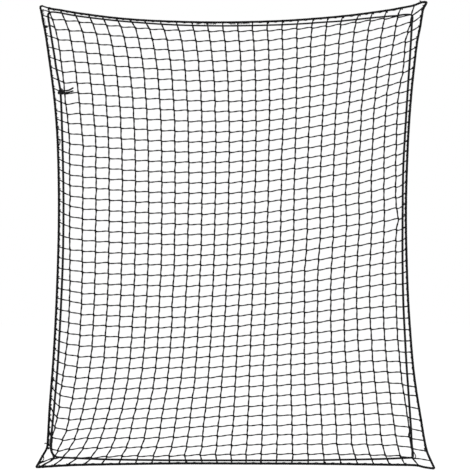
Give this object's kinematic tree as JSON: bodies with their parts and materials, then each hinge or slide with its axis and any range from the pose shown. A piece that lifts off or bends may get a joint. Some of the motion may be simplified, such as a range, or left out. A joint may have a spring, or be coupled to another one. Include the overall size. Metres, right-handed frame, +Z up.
{
  "type": "pitching target net",
  "caption": "Flat square-mesh target net on a lashed border rope, hung by its four corner eyes, with a draw cord knotted at one side.",
  "frame": {"origin": "middle of the four hooks that hold the corner eyes, in the plane of the netting", "axes": "+Z up the net, +X to the right as seen from the front, -Y towards the thrower, in front of the net"},
  "size_m": [1.2501, 0.0155, 1.4656],
  "materials": {
    "twine": "matt twisted polyethylene twine",
    "rope": "matt laid rope",
    "lashing_twine": "matt twisted twine",
    "cord": "satin braided cord"
  },
  "bodies": {
    "root": {"netting": "twine", "border_rope_top": "rope", "border_rope_right": "rope", "border_rope_bottom": "rope", "border_rope_left": "rope", "corner_loop_top_left": "rope", "corner_loop_top_right": "rope", "corner_loop_bottom_right": "rope", "corner_loop_bottom_left": "rope", "corner_hitch_top_left": "lashing_twine", "corner_hitch_top_right": "lashing_twine", "corner_hitch_bottom_right": "lashing_twine", "corner_hitch_bottom_left": "lashing_twine", "edge_lashing_top": "lashing_twine", "edge_lashing_right": "lashing_twine", "edge_lashing_bottom": "lashing_twine", "edge_lashing_left": "lashing_twine", "draw_cord": "cord", "draw_cord_knot": "cord", "draw_cord_tail_upper": "cord", "draw_cord_tail_lower": "cord"}
  },
  "joints": []
}
